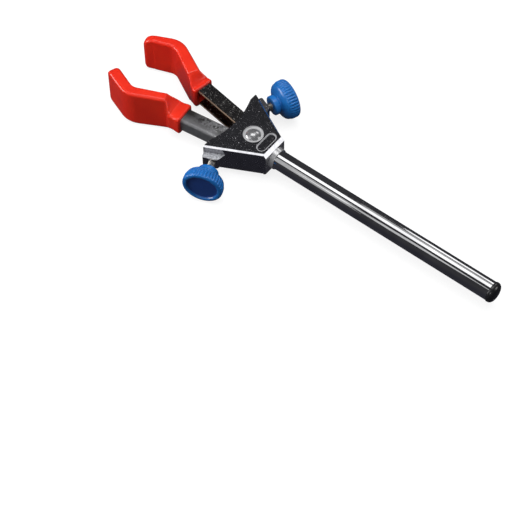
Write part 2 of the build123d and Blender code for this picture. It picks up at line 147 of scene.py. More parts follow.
# Thumbscrews
SCREW_TILT = 21.0
STUD_R = 2.5 * MM
THREAD_PITCH = 0.8 * MM
THREAD_DEPTH = 0.42 * MM
THREAD_CREST = 1.25         # above 1, the thread's crest is flat
THREAD_RAMP = (0.3 * MM, 1.4 * MM)
RIBS = 38
RIB_DEPTH = 0.62 * MM
RIB_CURVE = 0.8             # below 1, the ribs are fuller than a sine
RIBS_FROM = (6.4 * MM, 9.2 * MM)        # heights over which the ribs set in
RIBS_TO = (12.9 * MM, 13.6 * MM)        # heights over which they end
RIBS_OUT = (9.5 * MM, 11.5 * MM)        # radii over which they set in
TINY = 1e-6

# Knob's outline in mm, as (radius, height) above its hub's foot
HUB_R = 6.3
HUB_FOOT = 1.2
HUB_ROUND = 0.8
HUB_SIDE = (1.8, 2.6)
HUB_TOP = 3.0
HUB_TOP_ROUND = 0.5
GROOVE = [(5.5, 3.8), (5.4, 4.2), (5.5, 4.55)]
BELL_R = 5.6
BELL_WIDTH = 6.3
BELL_TOP = 8.2
BELL_HEIGHT = 3.5
BELL_CURVE = 0.9
RIM = [(12.2, 8.6), (12.42, 9.2), (12.5, 10.0), (12.5, 11.0), (12.5, 12.0), (12.5, 12.4)]
RIM_ROUND = 1.6
RIM_LIP = [(10.4, 14.0), (10.05, 13.95), (9.8, 13.75), (9.6, 13.4), (9.4, 13.0), (9.1, 12.75), (8.6, 12.7)]
SUNK_FACE = [(6.0, 12.72), (3.0, 12.75), (0.0, 12.75)]
SUNK_PAINTED_SHADE_R = (9.2 * MM, 9.9 * MM)     # radii over which the painted shade in the sunk face ends
SUNK_PAINTED_SHADE_Z = (12.0 * MM, 12.3 * MM)   # heights over which it sets in

# End plug
PLUG_R = 6.35 * MM
PLUG_HEAD = 4.4 * MM
PLUG_SIDE = 1.3 * MM
SPIGOT_R = 4.5 * MM
SPIGOT_LEAD = 1.0 * MM
PLUG_CURVE = 0.7

# Torsion spring
WIRE_R = 0.5 * MM
COIL_R = 3.7 * MM
COIL_TURNS = 2
LEG_GAP = 0.1 * MM
LEG_REACH = 15.0 * MM
LEG_LAP = 8                 # points of the coil's end that a leg keeps
LEG_STEPS = 4
COIL_STEP = math.radians(4)
SPRING_ROOM = 5.3 * MM      # between the inner arm's flanges, less the wire

# Floor
FLOOR_DROP = 0.2 * MM
FLOOR_HALF = 4.0


def smooth(low, high, value):
    """0 below low, 1 above high, and a smooth step between."""
    t = min(max((value - low) / (high - low), 0.0), 1.0)
    return t * t * (3 - 2 * t)


def mix(a, b, t):
    return a + (b - a) * t


def new_object(name, bm):
    mesh = bpy.data.meshes.new(name)
    bmesh.ops.recalc_face_normals(bm, faces=bm.faces)
    bm.to_mesh(mesh)
    bm.free()
    for face in mesh.polygons:
        face.use_smooth = True
    obj = bpy.data.objects.new(name, mesh)
    bpy.context.scene.collection.objects.link(obj)
    return obj


def skin(name, rings, closed=True):
    """Mesh through a row of rings of points, all with the same number of points."""
    bm = bmesh.new()
    rows = [[bm.verts.new(p) for p in ring] for ring in rings]
    count = len(rows[0])
    for low, high in zip(rows, rows[1:]):
        for i in range(count):
            j = (i + 1) % count
            bm.faces.new((low[i], low[j], high[j], high[i]))
    if closed:
        for row in (rows[0], rows[-1]):
            centre = bm.verts.new(sum((v.co for v in row), Vector()) / count)
            for i in range(count):
                bm.faces.new((row[i], row[(i + 1) % count], centre))
    return new_object(name, bm)


def round_ring(centre, across, up, radii):
    """Points round a centre, one for each radius."""
    points = []
    for i, radius in enumerate(radii):
        a = 2 * math.pi * i / len(radii)
        points.append(centre + (across * math.cos(a) + up * math.sin(a)) * radius)
    return points


# Grips

def rounded_rectangle(half_w, half_h, radius, per_corner=9, per_side=7):
    """Points round a rounded rectangle, the same number on every call."""
    radius = max(min(radius, half_w * 0.98, half_h * 0.98), TINY)
    corners = ((1, 1, 0), (-1, 1, 90), (-1, -1, 180), (1, -1, 270))
    arcs = []
    for sx, sy, first in corners:
        cx = sx * (half_w - radius)
        cy = sy * (half_h - radius)
        arc = []
        for k in range(per_corner + 1):
            a = math.radians(first + 90 * k / per_corner)
            arc.append((cx + radius * math.cos(a), cy + radius * math.sin(a)))
        arcs.append(arc)
    points = []
    for i, arc in enumerate(arcs):
        points.extend(arc)
        start = arc[-1]
        stop = arcs[(i + 1) % 4][0]
        for k in range(1, per_side):
            t = k / per_side
            points.append((mix(start[0], stop[0], t), mix(start[1], stop[1], t)))
    return points


def filleted_path(points, radius, step):
    """Evenly spaced points along two straight runs joined by an arc, with the direction at each."""
    a, b, c = (Vector(p) for p in points)
    u = (b - a).normalized()
    v = (c - b).normalized()
    turn = math.acos(max(-1.0, min(1.0, u.dot(v))))
    sign = 1 if u.x * v.y - u.y * v.x > 0 else -1
    reach = radius * math.tan(turn / 2)
    p0 = b - u * reach
    normal = Vector((-u.y, u.x)) * sign
    centre = p0 + normal * radius
    first = (p0 - a).length
    arc = radius * turn
    last = (c - (b + v * reach)).length
    total = first + arc + last
    count = max(2, round(total / step))
    out = []
    for i in range(count + 1):
        s = total * i / count
        if s <= first:
            out.append((a + u * s, u, s))
        elif s <= first + arc:
            spin = Matrix.Rotation((s - first) / radius * sign, 2)
            out.append((centre + spin @ (p0 - centre), spin @ u, s))
        else:
            out.append((b + v * (reach + s - first - arc), v, s))
    return out, total


def corner_drop(radius, left):
    """How far a rounded corner has dropped, with this length left to the end."""
    inside = max(radius - left, 0.0)
    return radius - math.sqrt(radius ** 2 - inside ** 2)


def make_grip(name, arm):
    """Vinyl skin over one arm's paddle and channel end, as rings from the pocket and collar to the tip."""
    turn = math.radians(arm["splay"])
    rings = []

    def ring(centre, direction, half_w, top, low, radius, lean=0.0):
        across = Vector((-direction.y, direction.x))
        middle = (top - low) / 2
        points = []
        for w, h in rounded_rectangle(half_w, (top + low) / 2, radius):
            z = middle + h
            p = centre + across * (w - z * math.tan(math.radians(lean)))
            x = -p.x * math.cos(turn) + p.y * math.sin(turn)
            y = p.x * math.sin(turn) + p.y * math.cos(turn)
            points.append(PIVOT + Vector((x, arm["side"] * y, z)))
        rings.append(points)

    # Pocket that the arm's channel leaves open inside the collar
    ahead = Vector((1, 0))
    start = arm["start"]
    pocket_w = (arm["web"] - SHEET_T - arm["coat"] - arm["edge"]) / 2
    pocket_h = arm["height"] / 2 - SHEET_T - arm["coat"]
    pocket_mid = arm["edge"] + pocket_w
    depths_and_growth = (
        (GRIP_POCKET, -0.5 * MM),
        (GRIP_POCKET - 0.4 * MM, 0),
        (0.5 * MM, 0),
        (0.1 * MM, POCKET_LIP),
    )
    for depth, grow in depths_and_growth:
        high = pocket_h + grow
        ring(Vector((start + depth, pocket_mid)), ahead, pocket_w + grow, high, high, POCKET_R)

    # Collar with its rounded lip
    neck_mid = (arm["web"] + arm["coat"] + arm["inner"]) / 2
    neck_w = (arm["web"] + arm["coat"] - arm["inner"]) / 2
    neck_h = arm["height"] / 2 + arm["coat"]
    lip_steps = 8
    for k in range(lip_steps + 1):
        a = math.radians(90 * k / lip_steps)
        out = COLLAR_BULGE * math.sin(a) - COLLAR_LIP * (1 - math.sin(a))
        place = Vector((start + COLLAR_LIP * (1 - math.cos(a)), neck_mid))
        ring(place, ahead, neck_w + out, neck_h + out, neck_h + out, GRIP_NECK_R)
    collar_steps = 14
    for k in range(1, collar_steps):
        a = mix(start + COLLAR_LIP, BLEND_START, k / collar_steps)
        out = COLLAR_BULGE * (1 - smooth(start + BULGE_START, start + BULGE_END, a))
        ring(Vector((a, neck_mid)), ahead, neck_w + out, neck_h + out, neck_h + out, GRIP_NECK_R)

    # Blend from the collar to the paddle's root
    half_h = arm["grip_h"] / 2
    bend = Vector(arm["bend"])
    end = Vector(arm["end"])
    paddle = Vector(arm["paddle"])
    slope = (bend.y - paddle.y) / (bend.x - paddle.x)
    root = Vector((BLEND_END, paddle.y + (BLEND_END - paddle.x) * slope))
    first_dir = Vector((1, slope)).normalized()
    first_t, bend_t, last_t = arm["thick"]
    blend_steps = 26
    for k in range(blend_steps):
        t = k / blend_steps
        s = smooth(0, 1, t)
        high = mix(neck_h, half_h, mix(s, t, 0.5))
        place = Vector((mix(BLEND_START, BLEND_END, t), mix(neck_mid, root.y, s)))
        direction = ahead.lerp(first_dir, s).normalized()
        ring(place, direction, mix(neck_w, first_t / 2, s), high, high, mix(GRIP_NECK_R, GRIP_EDGE_R, s))

    # Bent paddle
    path, total = filleted_path([tuple(root), tuple(bend), tuple(end)], GRIP_BEND_R, PADDLE_STEP)
    middle = total * BEND_SHARE
    round_from = total - max(arm["top_r"], arm["low_r"])
    for place, direction, s in path:
        if s > round_from:
            break
        if s < middle:
            thick = mix(first_t, bend_t, smooth(0, middle, s))
        else:
            thick = mix(bend_t, last_t, smooth(middle, total, s))
        lean = arm["lean"] * smooth(0, LEAN_RAMP, s)
        ring(place, direction, thick / 2, half_h, half_h, GRIP_EDGE_R, lean)

    # Tip, rounded at its upper and lower corner
    last_dir = (end - bend).normalized()
    tip_steps = 26
    for k in range(1, tip_steps + 1):
        left = (total - round_from) * (1 - k / tip_steps) ** TIP_CROWD
        near_end = max(0.0, 1 - left / (last_t / 2))
        half_w = max(last_t / 2 * math.sqrt(1 - near_end ** 2), TIP_MIN)
        top = half_h - corner_drop(arm["top_r"], left)
        low = half_h - corner_drop(arm["low_r"], left)
        ring(end - last_dir * left, last_dir, half_w, top, low, min(GRIP_EDGE_R, half_w), arm["lean"])
    return skin(name, rings)


# Thumbscrews

def screw_axis(side):
    """Direction in which a thumbscrew points out of the housing."""
    tilt = math.radians(SCREW_TILT)
    return Vector((math.sin(tilt), SIDES[side]["side"] * math.cos(tilt), 0))


def screw_tip(side):
    return Vector(next(j["pos_m"] for j in frame["joints"] if j["name"] == f"{side}_knob_spin"))


def outline_arc(r, z, radius, first, last, step):
    """Points of an arc round (r, z), in whole degrees."""
    angles = [math.radians(t) for t in range(first, last + 1, step)]
    return [(r + radius * math.cos(a), z + radius * math.sin(a)) for a in angles]


def knob_profile():
    """Half outline of the knob from its foot to the middle of its sunk face, in metres."""
    points = [(0.0, 0.0), (HUB_R - HUB_FOOT, 0.0)]
    points += outline_arc(HUB_R - HUB_ROUND, HUB_ROUND, HUB_ROUND, -75, 0, 15)
    points += [(HUB_R, z) for z in HUB_SIDE]
    points += outline_arc(HUB_R - HUB_TOP_ROUND, HUB_TOP, HUB_TOP_ROUND, 15, 75, 20)
    points += GROOVE
    bell_steps = 10
    for k in range(bell_steps + 1):
        a = math.radians(90 * k / bell_steps)
        r = BELL_R + BELL_WIDTH * math.sin(a) ** BELL_CURVE
        z = BELL_TOP - BELL_HEIGHT * math.cos(a) ** BELL_CURVE
        points.append((r, z))
    points += RIM
    rim_r, rim_z = RIM[-1]
    points += outline_arc(rim_r - RIM_ROUND, rim_z, RIM_ROUND, 15, 90, 15)
    points += RIM_LIP
    points += SUNK_FACE
    return [(r * MM, z * MM) for r, z in points]


def make_knob(name, side):
    """Knob with rounded ribs round its rim, with the foot and the axis that it stands on."""
    axis = screw_axis(side)
    tip = screw_tip(side)
    base = min((v.co - PIVOT).dot(axis) for v in frame["nodes"][f"{side}_knob"].data.vertices)
    foot = tip + axis * (base - (tip - PIVOT).dot(axis))
    per_rib = 10
    count = RIBS * per_rib
    waves = [abs(math.sin(math.pi * i / per_rib)) ** RIB_CURVE for i in range(count)]
    rings = []
    for r, z in knob_profile():
        ribbed = smooth(*RIBS_FROM, z) * (1 - smooth(*RIBS_TO, z)) * smooth(*RIBS_OUT, r)
        radii = [max(r - RIB_DEPTH * (1 - wave) * ribbed, TINY) for wave in waves]
        rings.append(round_ring(foot + axis * z, UP.cross(axis), UP, radii))
    return skin(name, rings, closed=False), foot, axis


def make_stud(name, side):
    """Threaded stud with a rounded tip."""
    axis = screw_axis(side)
    tip = screw_tip(side)
    length = max((v.co - tip).dot(axis) for v in frame["nodes"][f"{side}_stud"].data.vertices)
    count = 28
    tip_steps = 8
    per_turn = 8
    steps = round(length / THREAD_PITCH * per_turn)
    stations = []
    for k in range(1, tip_steps + 1):
        a = math.radians(90 * (1 - k / tip_steps))
        stations.append((STUD_R * math.cos(a), -STUD_R * math.sin(a), 0.0))
    for k in range(1, steps + 1):
        z = length * k / steps
        stations.append((STUD_R, z, smooth(*THREAD_RAMP, z)))
    rings = []
    for r, z, cut in stations:
        radii = []
        for i in range(count):
            phase = (z / THREAD_PITCH - i / count) % 1.0
            tooth = 1 - abs(2 * phase - 1)
            radii.append(r - THREAD_DEPTH * cut * (1 - min(1.0, tooth * THREAD_CREST)))
        rings.append(round_ring(tip + axis * z, UP.cross(axis), UP, radii))
    return skin(name, rings)


# Plug and spring

def make_plug():
    """Domed end plug, its head a little prouder than the rod, with a spigot inside the rod."""
    low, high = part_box("rod_end_plug")
    head = high.x - PLUG_HEAD
    crown = head + PLUG_SIDE
    outline = [
        (low.x, SPIGOT_R - SPIGOT_LEAD),
        (low.x + SPIGOT_LEAD, SPIGOT_R),
        (head, SPIGOT_R),
        (head, PLUG_R - 0.5 * MM),
        (head + 0.15 * MM, PLUG_R - 0.15 * MM),
        (head + 0.5 * MM, PLUG_R),
        (crown, PLUG_R),
    ]
    dome_steps = 12
    for k in range(1, dome_steps + 1):
        a = math.radians(90 * k / dome_steps)
        outline.append((mix(crown, high.x, math.sin(a)), max(PLUG_R * math.cos(a) ** PLUG_CURVE, 0.1 * MM)))
    count = 64
    rings = [round_ring(Vector((x, 0, 0)), Vector((0, 1, 0)), UP, [r] * count) for x, r in outline]
    return skin("rod_end_plug_moulded", rings)


def wire(name, points):
    """Round wire along a row of points."""
    count = 12
    last = len(points) - 1
    rings = []
    for k, point in enumerate(points):
        ahead = (points[min(k + 1, last)] - points[max(k - 1, 0)]).normalized()
        across = UP.cross(ahead).normalized()
        rings.append(round_ring(point, across, ahead.cross(across), [WIRE_R] * count))
    return skin(name, rings)


def make_spring():
    """Coil round the rivet, and a leg for each arm that turns with its arm along the coil's end."""
    ends = {}
    for side, arm in SIDES.items():
        t = math.radians(arm["splay"])
        out = arm["web"] - SHEET_T - WIRE_R - LEG_GAP
        x = -LEG_REACH * math.cos(t) + out * math.sin(t)
        y = LEG_REACH * math.sin(t) + out * math.cos(t)
        ends[side] = Vector((x, arm["side"] * y))
    start = math.atan2(ends["near"].y, ends["near"].x) + math.acos(COIL_R / ends["near"].length)
    stop = math.atan2(ends["far"].y, ends["far"].x) - math.acos(COIL_R / ends["far"].length)
    turned = (stop - start) % (2 * math.pi) + 2 * math.pi * COIL_TURNS
    reach = {side: math.sqrt(end.length ** 2 - COIL_R ** 2) for side, end in ends.items()}
    rise = SPRING_ROOM / (turned + (reach["near"] + reach["far"]) / COIL_R)

    def place(angle):
        x = COIL_R * math.cos(start + angle)
        y = COIL_R * math.sin(start + angle)
        return PIVOT + Vector((x, y, rise * (angle - turned / 2)))

    def ahead(angle):
        x = -COIL_R * math.sin(start + angle)
        y = COIL_R * math.cos(start + angle)
        return Vector((x, y, rise)).normalized()

    steps = round(turned / COIL_STEP)
    coil = wire("spring_coil", [place(turned * k / steps) for k in range(steps + 1)])
    near_run = ahead(0) * reach["near"]
    near_leg = [place(0) - near_run * (1 - k / LEG_STEPS) for k in range(LEG_STEPS)]
    near_leg += [place(COIL_STEP * k) for k in range(LEG_LAP)]
    far_run = ahead(turned) * reach["far"]
    far_leg = [place(turned - COIL_STEP * k) for k in reversed(range(LEG_LAP))]
    far_leg += [place(turned) + far_run * k / LEG_STEPS for k in range(1, LEG_STEPS + 1)]
    return coil, wire("near_spring_leg", near_leg), wire("far_spring_leg", far_leg)


# Materials

def material(name, color, metallic=0.0, roughness=0.3):
    mat = bpy.data.materials.new(name)
    mat.use_nodes = True
    shader = mat.node_tree.nodes["Principled BSDF"]
    shader.inputs["Base Color"].default_value = (*color, 1)
    shader.inputs["Metallic"].default_value = metallic
    shader.inputs["Roughness"].default_value = roughness
    return mat, mat.node_tree, shader


def noise(tree, scale, detail=3.0, rough=0.5):
    coord = tree.nodes.new("ShaderNodeTexCoord")
    node = tree.nodes.new("ShaderNodeTexNoise")
    node.inputs["Scale"].default_value = scale
    node.inputs["Detail"].default_value = detail
    node.inputs["Roughness"].default_value = rough
    tree.links.new(coord.outputs["Object"], node.inputs["Vector"])
    return node.outputs["Fac"]


def ramp(tree, value, stops):
    """Colour ramp with (position, colour) stops, driven by value."""
    node = tree.nodes.new("ShaderNodeValToRGB")
    elements = node.color_ramp.elements
    while len(elements) < len(stops):
        elements.new(0.5)
    for element, (place, color) in zip(elements, stops):
        element.position = place
        element.color = (*color, 1)
    tree.links.new(value, node.inputs["Fac"])
    return node.outputs["Color"]


def mapped(tree, value, low, high, to_low=0, to_high=1):
    """The range from low to high stretched to the one from to_low to to_high, and held at its ends."""
    node = tree.nodes.new("ShaderNodeMapRange")
    node.inputs["From Min"].default_value = low
    node.inputs["From Max"].default_value = high
    node.inputs["To Min"].default_value = to_low
    node.inputs["To Max"].default_value = to_high
    tree.links.new(value, node.inputs["Value"])
    return node.outputs["Result"]


def bump(tree, shader, height, strength, distance):
    node = tree.nodes.new("ShaderNodeBump")
    node.inputs["Strength"].default_value = strength
    node.inputs["Distance"].default_value = distance
    tree.links.new(height, node.inputs["Height"])
    tree.links.new(node.outputs["Normal"], shader.inputs["Normal"])


def maths(tree, operation, a, b=0):
    """Two values, or a value and a number, put together."""
    node = tree.nodes.new("ShaderNodeMath")
    node.operation = operation
    for socket, value in zip(node.inputs, (a, b)):
        if isinstance(value, (int, float)):
            socket.default_value = value
        else:
            tree.links.new(value, socket)
    return node.outputs["Value"]


def product(tree, first, *others):
    for value in others:
        first = maths(tree, "MULTIPLY", first, value)
    return first


def vector_maths(tree, operation, vector, constant=None):
    """A vector, and a constant vector where one is given, put together."""
    node = tree.nodes.new("ShaderNodeVectorMath")
    node.operation = operation
    tree.links.new(vector, node.inputs[0])
    if constant is not None:
        node.inputs[1].default_value = constant
    return node.outputs


def object_place(tree):
    """The shaded place in the shared frame, also where the piece has moved with its body."""
    return tree.nodes.new("ShaderNodeTexCoord").outputs["Object"]


def place_parts(tree):
    """X, Y and Z of the shaded place."""
    split = tree.nodes.new("ShaderNodeSeparateXYZ")
    tree.links.new(object_place(tree), split.inputs["Vector"])
    return split.outputs


def facing_up(tree):
    """Z of the surface's normal."""
    geometry = tree.nodes.new("ShaderNodeNewGeometry")
    split = tree.nodes.new("ShaderNodeSeparateXYZ")
    tree.links.new(geometry.outputs["Normal"], split.inputs["Vector"])
    return split.outputs["Z"]


def band(tree, value, low, high, soft):
    """1 where value lies between low and high, with soft ends."""
    return product(tree, mapped(tree, value, low - soft, low), mapped(tree, value, high, high + soft, 1, 0))


def length_of(tree, a, b):
    squares = maths(tree, "ADD", product(tree, a, a), product(tree, b, b))
    return maths(tree, "SQRT", squares)


def overlay(tree, shader, mask, color, metallic, rough):
    """Lay another finish, or painted light or shade, over the shader's own where mask is 1."""
    layers = (
        (shader.inputs["Base Color"], (*color, 1), "RGBA"),
        (shader.inputs["Metallic"], metallic, "FLOAT"),
        (shader.inputs["Roughness"], rough, "FLOAT"),
    )
    for socket, value, kind in layers:
        blend = tree.nodes.new("ShaderNodeMix")
        blend.data_type = kind
        tree.links.new(mask, blend.inputs["Factor"])
        if socket.is_linked:
            tree.links.new(socket.links[0].from_socket, blend.inputs["A"])
        else:
            blend.inputs["A"].default_value = socket.default_value
        blend.inputs["B"].default_value = value
        tree.links.new(blend.outputs["Result"], socket)


def plated(name, color, rough, speck_rough, specks, scale, metallic=1.0):
    """Bright plate with small duller specks, whose noise lies between the two values of specks."""
    mat, tree, shader = material(name, color, metallic, rough)
    speckle = mapped(tree, noise(tree, scale, 5.0, 0.65), *specks)
    tree.links.new(mapped(tree, speckle, 0, 1, rough, speck_rough), shader.inputs["Roughness"])
    darker = tuple(c * 0.8 for c in color)
    shade = ramp(tree, noise(tree, scale * 0.25), [(0.35, darker), (0.65, color)])
    tree.links.new(shade, shader.inputs["Base Color"])
    bump(tree, shader, noise(tree, scale * 0.5, 4.0), 0.10, 0.00005)
    return mat, tree, shader


def housing_finish():
    """Chrome, with painted highlights round the rivet, on the pill's rim, the lugs' tops (laid over
    streaks) and the neck.
    """
    mat, tree, shader = plated(
        "housing_chrome", (0.42, 0.42, 0.44), rough=0.12, speck_rough=0.4, specks=(0.55, 0.75), scale=1500)
    x, y, z = place_parts(tree)
    from_pivot = maths(tree, "SUBTRACT", x, PIVOT.x)
    near_top = band(tree, z, HOUSING_TOP - RING_DEPTH, HOUSING_TOP + 0.1 * MM, 0.1 * MM)

    round_rivet = length_of(tree, from_pivot, y)
    # Painted highlight: the groove round the rivet is coloured lighter and less metallic, in place of the
    # light it mirrors.
    painted_groove_highlight = product(tree, band(tree, round_rivet, RIVET_R, RING_R, 0.15 * MM), near_top)
    overlay(tree, shader, painted_groove_highlight, (0.70, 0.70, 0.71), metallic=0.45, rough=0.25)

    held = maths(tree, "MAXIMUM", maths(tree, "MINIMUM", y, PILL_STRAIGHT), -PILL_STRAIGHT)
    beyond = maths(tree, "SUBTRACT", y, held)
    round_pill = length_of(tree, maths(tree, "SUBTRACT", from_pivot, PILL_X), beyond)
    # Painted highlight: a lighter, less metallic band along the pill's rim.
    painted_pill_rim_highlight = product(tree, band(tree, round_pill, PILL_R - 0.2 * MM, PILL_R + 0.25 * MM, 0.12 * MM), near_top)
    overlay(tree, shader, painted_pill_rim_highlight, (0.52, 0.52, 0.54), metallic=0.25, rough=0.3)

    flat = mapped(tree, facing_up(tree), 0.85, 0.95)
    specks = product(tree, flat, mapped(tree, noise(tree, 1300, 2.0), 0.68, 0.72))
    overlay(tree, shader, specks, (0.40, 0.40, 0.42), metallic=0.2, rough=0.35)

    # Lug tops: streaks of the finish together with a painted highlight, lighter and less metallic,
    # strongest on the near lug.
    lug_top = band(tree, z, LUG_TOP - 0.5 * MM, LUG_TOP + 0.5 * MM, 0.2 * MM)
    painted_highlight_mostly_near = mapped(tree, y, 0, 5 * MM, 1, 0.15)
    streaks = mapped(tree, noise(tree, 700), 0.35, 0.6, 0.55, 1.0)
    lug_streaks_and_painted_highlight = product(tree, flat, lug_top, painted_highlight_mostly_near, streaks)
    overlay(tree, shader, lug_streaks_and_painted_highlight, (0.46, 0.47, 0.50), metallic=0.15, rough=0.3)

    # Painted highlight: the housing's neck towards the rod is coloured lighter.
    painted_neck_highlight = mapped(tree, x, NECK_X - 0.2 * MM, NECK_X + 0.2 * MM)
    overlay(tree, shader, painted_neck_highlight, (0.62, 0.62, 0.63), metallic=0.7, rough=0.26)
    return mat


def near_arm_finish(arm):
    """Dull plate, dark along the inner edge towards the collar and speckled towards the housing."""
    mat, tree, shader = plated(
        "near_arm_chrome", (0.28, 0.28, 0.29), rough=0.36, speck_rough=0.5, specks=(0.45, 0.6), scale=1400,
        metallic=0.75)
    cos = math.cos(math.radians(arm["splay"]))
    sin = math.sin(math.radians(arm["splay"]))
    x, y, _ = place_parts(tree)
    back = product(tree, maths(tree, "SUBTRACT", x, PIVOT.x), -1)
    aside = product(tree, y, arm["side"])
    reach = maths(tree, "ADD", product(tree, back, cos), product(tree, aside, sin))
    across = maths(tree, "SUBTRACT", product(tree, aside, cos), product(tree, back, sin))
    flat = mapped(tree, facing_up(tree), 0.6, 0.9)

    blots = mapped(tree, noise(tree, 320, 4.0, 0.7), 0.47, 0.55)
    collar = mapped(tree, reach, 28 * MM, 42 * MM)
    inner = mapped(tree, across, arm["edge"] + 3 * MM, arm["edge"] + 9 * MM, 1, 0)
    # Darker along the inner edge, in blots and then wholly towards the collar.
    inner_edge_darkening = product(tree, maths(tree, "MAXIMUM", blots, collar), inner, flat)
    overlay(tree, shader, inner_edge_darkening, (0.035, 0.033, 0.033), metallic=0.6, rough=0.3)

    specks = mapped(tree, noise(tree, 1200, 2.0), 0.60, 0.66)
    close = mapped(tree, reach, 22 * MM, 30 * MM, 1, 0)
    overlay(tree, shader, product(tree, specks, close, flat), (0.5, 0.5, 0.5), metallic=0.3, rough=0.4)
    return mat


def far_arm_finish():
    """Dark speckled plate, brown inside the channel."""
    mat, tree, shader = plated(
        "far_arm_chrome", (0.24, 0.23, 0.22), rough=0.16, speck_rough=0.4, specks=(0.52, 0.74), scale=1100)
    inside = mapped(tree, facing_up(tree), 0.1, 0.3, 1, 0)
    overlay(tree, shader, inside, (0.42, 0.30, 0.21), metallic=0.1, rough=0.4)
    blots = mapped(tree, noise(tree, 320, 4.0, 0.7), 0.47, 0.55)
    specks = mapped(tree, noise(tree, 1200, 2.0), 0.60, 0.66)
    flat = mapped(tree, facing_up(tree), 0.6, 0.9)
    overlay(tree, shader, product(tree, specks, blots, flat), (0.30, 0.30, 0.29), metallic=0.3, rough=0.4)
    return mat


def vinyl(name):
    mat, tree, shader = material(name, (0.74, 0.022, 0.009))
    shade = ramp(tree, noise(tree, 60.0), [(0.3, (0.68, 0.018, 0.008)), (0.7, (0.78, 0.030, 0.010))])
    tree.links.new(shade, shader.inputs["Base Color"])
    shader.inputs["Specular IOR Level"].default_value = 0.28
    shader.inputs["Coat Weight"].default_value = 0.6
    shader.inputs["Coat Roughness"].default_value = 0.10
    bump(tree, shader, noise(tree, 140.0, 2.0), 0.10, 0.0003)
    return mat


def moulded(name, dark, light):
    mat, tree, shader = material(name, light, roughness=0.25)
    shade = ramp(tree, noise(tree, 90.0), [(0.3, dark), (0.7, light)])
    tree.links.new(shade, shader.inputs["Base Color"])
    shader.inputs["Coat Weight"].default_value = 0.4
    shader.inputs["Coat Roughness"].default_value = 0.08
    bump(tree, shader, noise(tree, 600.0, 2.0), 0.06, 0.0001)
    return mat, tree, shader


def knob_finish(side, foot, axis):
    """Moulded blue, with painted shade, a darker navy, in the sunk face."""
    mat, tree, shader = moulded(f"{side}_knob_blue", (0.010, 0.12, 0.40), (0.016, 0.17, 0.52))
    from_foot = vector_maths(tree, "SUBTRACT", object_place(tree), foot)["Vector"]
    height = vector_maths(tree, "DOT_PRODUCT", from_foot, axis)["Value"]
    swept = vector_maths(tree, "CROSS_PRODUCT", from_foot, axis)["Vector"]
    radial = vector_maths(tree, "LENGTH", swept)["Value"]
    # Painted shade: the sunk face is coloured a darker navy for the shade in its recess.
    painted_sunk_shade = product(tree, mapped(tree, height, *SUNK_PAINTED_SHADE_Z), mapped(tree, radial, *SUNK_PAINTED_SHADE_R, 1, 0))
    overlay(tree, shader, painted_sunk_shade, (0.012, 0.045, 0.20), metallic=0.0, rough=0.3)
    return mat


def soften_edges(obj, width):
    """Small rounds along an object's sharp edges, so that they catch the light."""
    rounds = obj.modifiers.new("edge_rounds", "BEVEL")
    rounds.width = width
    rounds.segments = 3
    rounds.limit_method = "ANGLE"
    rounds.angle_limit = math.radians(35)
    rounds.use_clamp_overlap = True


def paint(obj, mat):
    obj.data.materials.clear()
    obj.data.materials.append(mat)


# Stage

def basis_of(right, up, back):
    return Matrix((right, up, back)).transposed().to_4x4()


def soft_box(name, centre, facing, size, radiance, mirrored=True, long_axis=(1, 0, 0)):
    """Area light centred on a place, facing another, with its first side near long_axis."""
    width, height = size
    data = bpy.data.lights.new(name, "AREA")
    data.shape = "RECTANGLE"
    data.size = width
    data.size_y = height
    data.energy = radiance * math.pi * width * height
    obj = bpy.data.objects.new(name, data)
    bpy.context.scene.collection.objects.link(obj)
    back = (Vector(centre) - Vector(facing)).normalized()
    side = Vector(long_axis) - back * Vector(long_axis).dot(back)
    side.normalize()
    obj.matrix_world = Matrix.Translation(Vector(centre)) @ basis_of(side, back.cross(side), back)
    obj.visible_glossy = mirrored


def along(direction, distance):
    return PIVOT + Vector(direction).normalized() * distance


def make_lights():
    # Banks above and beyond the rod and panels before it make its stripes
    soft_box("top_bank", (-0.23, 0.14, 1.0), facing=(-0.23, 0.14, 0), size=(0.75, 0.49), radiance=1.7,
             long_axis=(1, 0.38, 0))
    soft_box("mid_bank", (-0.045, 0.567, 0.943), facing=(0.1, 0, 0), size=(0.49, 0.40), radiance=0.55)
    soft_box("far_bank", (-0.035, 0.992, 0.596), facing=(0.1, 0, 0), size=(0.41, 0.38), radiance=1.7)
    soft_box("low_panel", (-0.44, -0.64, 0.64), facing=(-0.05, 0, 0), size=(0.36, 0.72), radiance=0.55)
    soft_box("slant_panel", (-0.165, -0.54, 0.685), facing=(0.07, 0, 0), size=(0.36, 0.16), radiance=0.75,
             long_axis=(0.17, 0.24, 0.21))
    # Lights that the bevels and the grips mirror
    soft_box("rear_bevel_light", along((0.832, 0.431, 0.35), 1.1), facing=PIVOT, size=(0.5, 0.4),
             radiance=2.6, long_axis=(0, 0, 1))
    soft_box("near_bevel_light", along((0.318, -0.773, 0.546), 1.1), facing=PIVOT, size=(0.4, 0.3),
             radiance=2.6)
    soft_box("grip_light", along((-0.79, -0.56, 0.25), 0.9), facing=along((-1, 0, 0), 0.08),
             size=(0.55, 0.45), radiance=5.0)
    # Soft light that nothing mirrors
    soft_box("fill", (0, 0, 1.5), facing=(0, 0, 0), size=(1.5, 1.5), radiance=2.8, mirrored=False)
    soft_box("front_fill", (-0.75, -1.0, 0.55), facing=(-0.05, 0, 0), size=(0.9, 0.8), radiance=1.9,
             mirrored=False)


